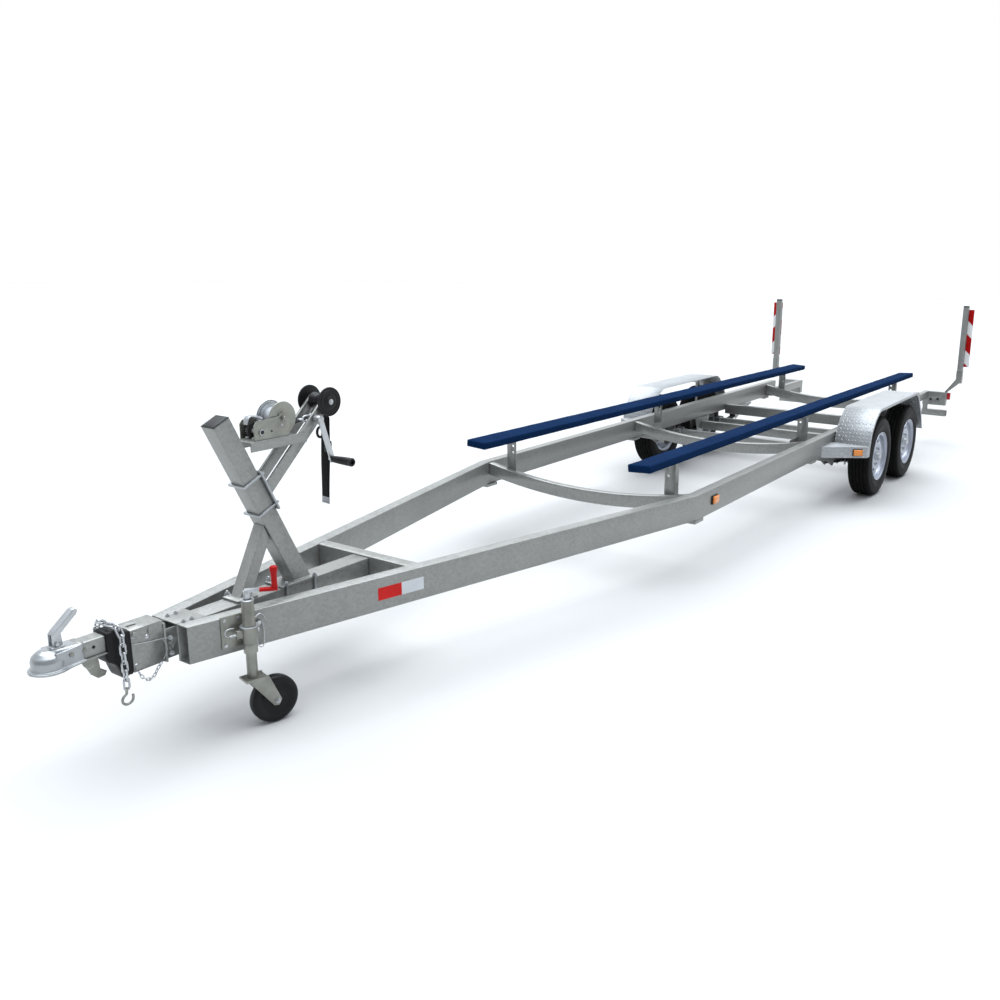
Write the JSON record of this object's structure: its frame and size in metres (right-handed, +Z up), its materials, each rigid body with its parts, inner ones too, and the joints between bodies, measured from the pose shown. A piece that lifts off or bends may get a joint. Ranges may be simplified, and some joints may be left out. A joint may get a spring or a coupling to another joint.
{
  "type": "boat trailer",
  "caption": "Tandem-axle galvanised boat trailer with carpeted bunks, winch post with bow roller, override coupling, jack and rear guide posts.",
  "frame": {"origin": "floor level, midway along and across the standing trailer", "axes": "+X towards the coupling, +Y towards the jack's side, +Z up"},
  "size_m": [9.256, 2.208, 1.4528],
  "materials": {
    "galvanised": "hot-dip galvanised, mottled matt grey",
    "zinc": "zinc plated, slightly yellow",
    "checker_plate": "bright five-bar checker plate",
    "tyre": "matt black",
    "rim": "silver paint",
    "black_rubber": "matt black",
    "black_plastic": "satin black",
    "carpet": "navy marine carpet",
    "webbing": "black webbing",
    "red_plastic": "gloss red",
    "amber_lens": "amber lens",
    "red_lens": "red lens",
    "board": "red and white stripes",
    "black_steel": "black chassis paint"
  },
  "bodies": {
    "frame": {"axles": "galvanised", "brake_plates": "black_steel", "bunk_left": "carpet", "bunk_posts": "galvanised", "bunk_right": "carpet", "coupling_boot": "black_rubber", "coupling_head": "galvanised", "coupling_housing": "galvanised", "coupling_lever": "galvanised", "crossmembers_curved": "galvanised", "crossmembers_straight": "galvanised", "drawbar_crossbar": "galvanised", "foot_u_bolts": "galvanised", "guard_stays": "galvanised", "guard_steps": "galvanised", "guards": "checker_plate", "guide_caps": "black_plastic", "guide_posts": "galvanised", "jack_mount": "zinc", "leaf_springs": "black_steel", "light_brackets": "galvanised", "nose_brackets": "galvanised", "override_hook": "galvanised", "rail_left": "galvanised", "rail_pads": "galvanised", "rail_right": "galvanised", "rear_lamps": "red_lens", "roller_arms": "galvanised", "safety_chain": "zinc", "side_markers": "amber_lens", "spring_clamps": "galvanised", "spring_hangers": "galvanised", "striped_boards": "board", "tongue_beam": "galvanised", "winch_brace": "galvanised", "winch_clamp": "galvanised", "winch_crank": "zinc", "winch_crank_grip": "black_plastic", "winch_drive": "zinc", "winch_drum": "zinc", "winch_frame": "zinc", "winch_platform": "galvanised", "winch_post": "galvanised", "winch_strap": "webbing"},
    "wheel_front_left": {"tyre_front_left": "tyre", "rim_front_left": "rim"},
    "wheel_rear_left": {"tyre_rear_left": "tyre", "rim_rear_left": "rim"},
    "wheel_front_right": {"tyre_front_right": "tyre", "rim_front_right": "rim"},
    "wheel_rear_right": {"tyre_rear_right": "tyre", "rim_rear_right": "rim"},
    "bow_roller": {"bow_roller": "black_rubber"},
    "jack_leg": {"jack_tube": "zinc", "jack_crank": "zinc", "jack_crank_grip": "red_plastic"},
    "jack_foot_tube": {"jack_inner_tube": "zinc"},
    "jack_caster": {"jack_fork": "zinc"},
    "jack_wheel": {"jack_wheel": "black_rubber"}
  },
  "joints": [
    {"name": "spin_front_left", "type": "hinge", "parent": "frame", "child": "wheel_front_left", "pos_m": [-1.60303, 0.95, 0.323], "axis": [0, 1, 0], "continuous": true},
    {"name": "spin_rear_left", "type": "hinge", "parent": "frame", "child": "wheel_rear_left", "pos_m": [-2.45303, 0.95, 0.323], "axis": [0, 1, 0], "continuous": true},
    {"name": "spin_front_right", "type": "hinge", "parent": "frame", "child": "wheel_front_right", "pos_m": [-1.60303, -0.95, 0.323], "axis": [0, 1, 0], "continuous": true},
    {"name": "spin_rear_right", "type": "hinge", "parent": "frame", "child": "wheel_rear_right", "pos_m": [-2.45303, -0.95, 0.323], "axis": [0, 1, 0], "continuous": true},
    {"name": "roller_spin", "type": "hinge", "parent": "frame", "child": "bow_roller", "pos_m": [3.33069, 0, 1.20819], "axis": [0, 1, 0], "continuous": true},
    {"name": "jack_swing", "type": "hinge", "parent": "frame", "child": "jack_leg", "pos_m": [3.90202, 0.17914, 0.37388], "axis": [0.2351, 0.972, -0.0042], "range_deg": [0, 90]},
    {"name": "jack_lift", "type": "slide", "parent": "jack_leg", "child": "jack_foot_tube", "axis": [0.0178, 0, 0.9998], "range_m": [-0.06, 0.085]},
    {"name": "jack_caster_swivel", "type": "hinge", "parent": "jack_foot_tube", "child": "jack_caster", "pos_m": [3.90675, 0.20976, 0.22377], "axis": [0.0178, 0, 0.9998], "continuous": true},
    {"name": "jack_wheel_spin", "type": "hinge", "parent": "jack_caster", "child": "jack_wheel", "pos_m": [3.82729, 0.22843, 0.096], "axis": [0.2351, 0.972, -0.0042], "continuous": true}
  ]
}
